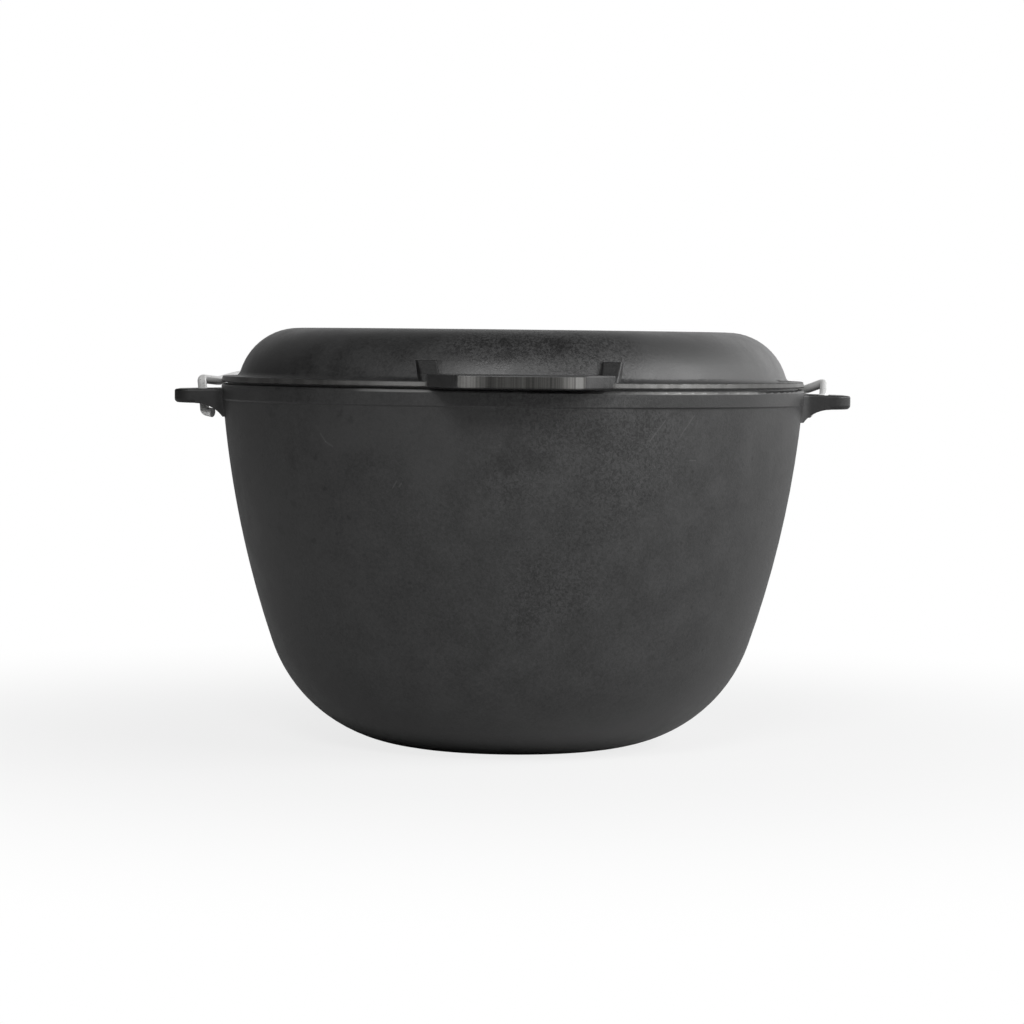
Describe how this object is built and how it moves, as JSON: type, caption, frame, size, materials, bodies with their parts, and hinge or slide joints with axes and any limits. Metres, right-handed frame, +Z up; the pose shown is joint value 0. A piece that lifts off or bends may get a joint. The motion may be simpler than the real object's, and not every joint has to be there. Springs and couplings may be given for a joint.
{
  "type": "lidded cauldron",
  "caption": "Round-bellied cast iron cauldron with a flat base, side ears, a folding wire bail and a domed lid with end tabs that turns over to serve as a shallow pan.",
  "frame": {"origin": "centre of the pot's flat base, on the surface it stands on", "axes": "+Z up along the pot's axis, X through the two ears and the bail's hinge line, -Y towards the viewer's side, with a lid tab at each end of Y; the bail lies back towards +Y"},
  "size_m": [0.3354, 0.337, 0.2053],
  "materials": {
    "cast_iron": "fine sand-cast skin, darkened",
    "steel_wire": "drawn wire, bright"
  },
  "bodies": {
    "pot_body": {"pot": "cast_iron", "lid": "cast_iron"},
    "bail_body": {"bail": "steel_wire"}
  },
  "joints": [
    {"name": "bail_hinge", "type": "hinge", "parent": "pot_body", "child": "bail_body", "pos_m": [0, 0, 0.1712], "axis": [1, 0, 0], "range_deg": [0, 100]}
  ]
}
